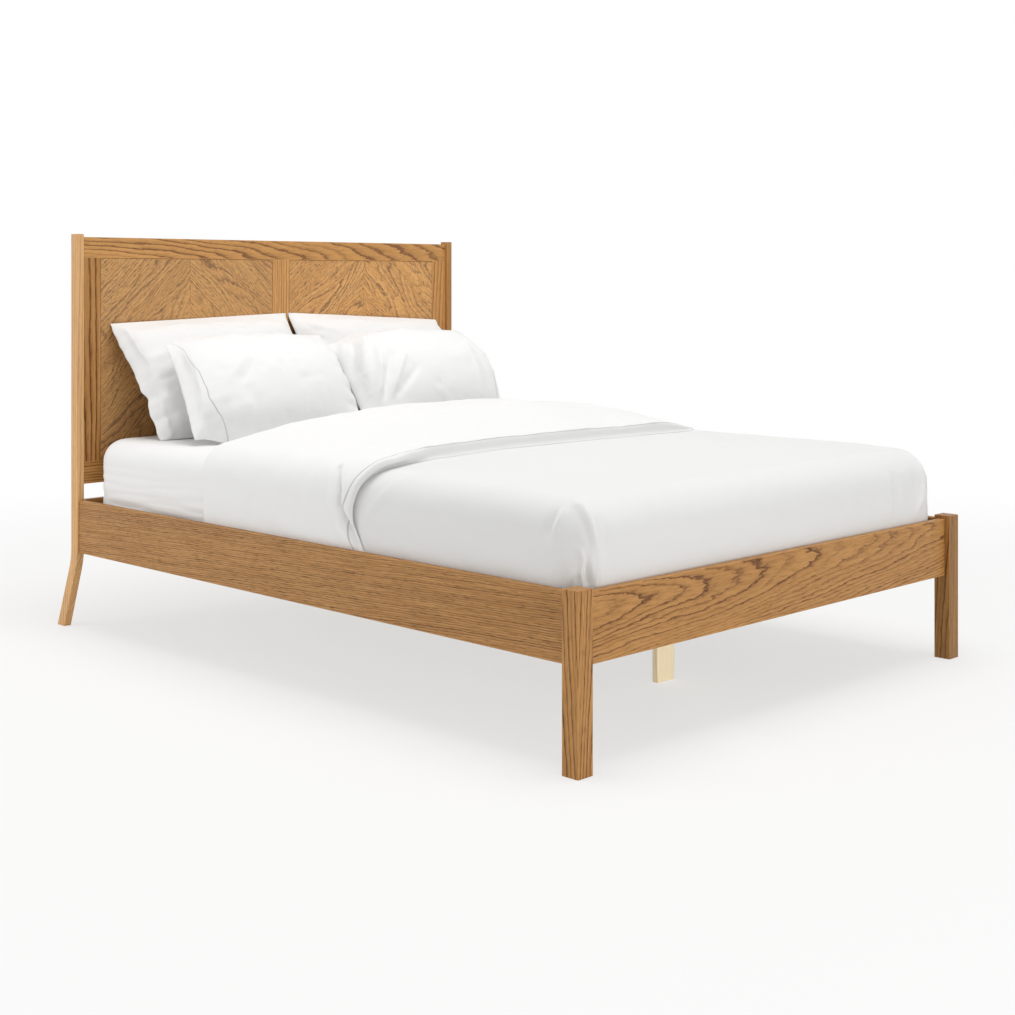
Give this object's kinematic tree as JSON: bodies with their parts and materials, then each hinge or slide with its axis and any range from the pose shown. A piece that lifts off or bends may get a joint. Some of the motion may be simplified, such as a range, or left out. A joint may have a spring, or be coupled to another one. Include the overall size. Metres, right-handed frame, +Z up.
{
  "type": "wooden bed",
  "caption": "Wooden bed with low rails, square foot posts, rear legs that kick back and a framed chevron headboard; its slatted base carries a mattress with duvet and pillows.",
  "frame": {"origin": "on the floor under the middle of the bed's overall length and width", "axes": "+X to the right of someone at the foot who looks at the headboard, +Y towards the headboard, +Z up"},
  "size_m": [1.49, 2.052, 1.1275],
  "materials": {
    "oiled_oak": "oiled satin",
    "chevron_oak": "oiled satin",
    "plywood": "sanded",
    "pine": "planed, unfinished",
    "beech": "turned, unfinished",
    "zinc_steel": "bright zinc plate",
    "polyester_webbing": "woven tape",
    "mattress_ticking": "woven ticking",
    "white_cotton": "plain weave"
  },
  "bodies": {
    "bed_frame": {"foot_post_left": "oiled_oak", "foot_post_right": "oiled_oak", "foot_rail": "oiled_oak", "side_rail_left": "oiled_oak", "side_rail_right": "oiled_oak", "head_post_left": "oiled_oak", "head_post_right": "oiled_oak", "head_cross_rail": "oiled_oak", "headboard_top_rail": "oiled_oak", "headboard_bottom_rail": "oiled_oak", "headboard_stile_left": "oiled_oak", "headboard_stile_right": "oiled_oak", "headboard_centre_stile": "oiled_oak", "chevron_left_rising": "chevron_oak", "chevron_left_falling": "chevron_oak", "chevron_right_rising": "chevron_oak", "chevron_right_falling": "chevron_oak", "headboard_panel_left": "plywood", "headboard_panel_right": "plywood", "ledger_left": "pine", "ledger_right": "pine", "centre_rail": "pine", "centre_leg_foot": "pine", "centre_leg_head": "pine", "slat_01": "pine", "slat_02": "pine", "slat_03": "pine", "slat_04": "pine", "slat_05": "pine", "slat_06": "pine", "slat_07": "pine", "slat_08": "pine", "slat_09": "pine", "slat_10": "pine", "slat_11": "pine", "slat_12": "pine", "slat_13": "pine", "slat_14": "pine", "rail_dowels": "beech", "headboard_dowels": "beech", "hanger_foot": "zinc_steel", "hanger_head": "zinc_steel", "cam_bolts": "zinc_steel", "cam_locks": "zinc_steel", "ledger_screws": "zinc_steel", "slat_screws": "zinc_steel", "leg_screws": "zinc_steel", "hanger_screws": "zinc_steel", "slat_webbing": "polyester_webbing"},
    "mattress_set": {"mattress": "mattress_ticking", "fitted_sheet": "white_cotton", "duvet": "white_cotton", "pillow_rear_left": "white_cotton", "pillow_rear_right": "white_cotton", "pillow_front_left": "white_cotton", "pillow_front_right": "white_cotton"}
  },
  "joints": [
    {"name": "mattress_lift", "type": "slide", "parent": "bed_frame", "child": "mattress_set", "axis": [0, 0, 1], "range_m": [0, 0.3]}
  ]
}
